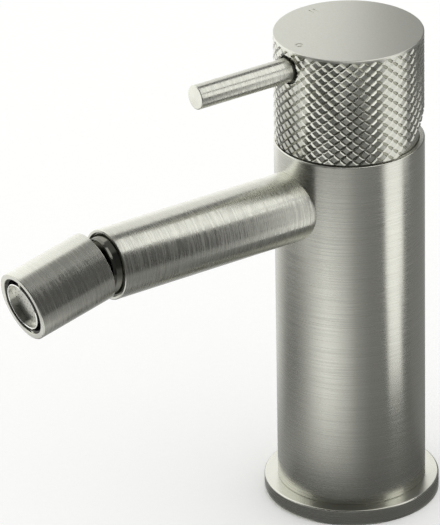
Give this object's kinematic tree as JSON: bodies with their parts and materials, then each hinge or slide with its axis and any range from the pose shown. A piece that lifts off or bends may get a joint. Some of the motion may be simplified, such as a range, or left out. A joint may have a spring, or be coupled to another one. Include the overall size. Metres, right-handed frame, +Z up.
{
  "type": "bidet mixer",
  "caption": "Single-lever bidet mixer: round barrel on a foot flange, level spout with a tilting nozzle, and a knurled knob with a pin lever that tips and turns.",
  "frame": {"origin": "centre of the foot, at the mouth of the fixing stud's hole, on the surface that the mixer stands on", "axes": "+Z up along the barrel, -Y along the spout and the lever, -X towards the hot side, on the user's left"},
  "size_m": [0.0544, 0.1491, 0.155],
  "materials": {
    "brushed_nickel": "brass, brushed and nickel plated",
    "satin_nickel": "brass, satin nickel plated",
    "polished_nickel": "polished nickel plate",
    "brass": "machined",
    "steel": "ground stainless steel",
    "ceramic": "lapped",
    "black_plastic": "moulded",
    "white_plastic": "moulded",
    "rubber": "moulded"
  },
  "bodies": {
    "root": {"body": "brushed_nickel", "base_flange": "brushed_nickel", "base_gasket": "rubber", "inlet_block": "brass", "inlet_pipe_hot": "brass", "inlet_pipe_cold": "brass", "seat_plate": "brass", "plate_seal": "rubber", "port_seals": "rubber", "cartridge_base": "black_plastic", "fixed_disc": "ceramic", "cartridge_housing": "white_plastic", "clamp_nut": "brass", "dome_cover": "satin_nickel", "spout_tube": "brushed_nickel", "spout_nipple": "brass", "spout_seal": "rubber", "spout_collar": "polished_nickel", "stud_seal": "rubber"},
    "turret": {"turret": "black_plastic", "pivot_pin": "steel"},
    "handle": {"stem": "brass", "knob_core": "brushed_nickel", "knurl_sleeve": "brushed_nickel", "lever_rod": "brushed_nickel", "grub_screw": "steel"},
    "disc": {"disc_carrier": "black_plastic", "moving_disc": "ceramic"},
    "swivel": {"ball_stud": "polished_nickel", "stud_clip": "steel"},
    "nozzle": {"nozzle_shell": "brushed_nickel", "ball_seat": "white_plastic", "seat_nut": "satin_nickel", "aerator_washer": "rubber", "aerator_housing": "black_plastic", "aerator_screen": "steel"}
  },
  "joints": [
    {"name": "temperature_turn", "type": "hinge", "parent": "root", "child": "turret", "pos_m": [0, 0, 0.1204], "axis": [0, 0, -1], "range_deg": [0, 90]},
    {"name": "lever_lift", "type": "hinge", "parent": "turret", "child": "handle", "pos_m": [0, 0, 0.1204], "axis": [-1, 0, 0], "range_deg": [0, 20]},
    {"name": "disc_slide", "type": "slide", "parent": "turret", "child": "disc", "axis": [0, -1, 0], "range_m": [0, 0.0037]},
    {"name": "nozzle_swivel", "type": "hinge", "parent": "root", "child": "swivel", "pos_m": [0, -0.0976, 0.1026], "axis": [0, -1, 0], "continuous": true},
    {"name": "nozzle_tilt", "type": "hinge", "parent": "swivel", "child": "nozzle", "pos_m": [0, -0.0976, 0.1026], "axis": [-1, 0, 0], "range_deg": [-1.6, 28.4]}
  ],
  "couplings": [
    {"joint": "disc_slide", "follows": "lever_lift", "m_per_rad": 0.0104}
  ]
}
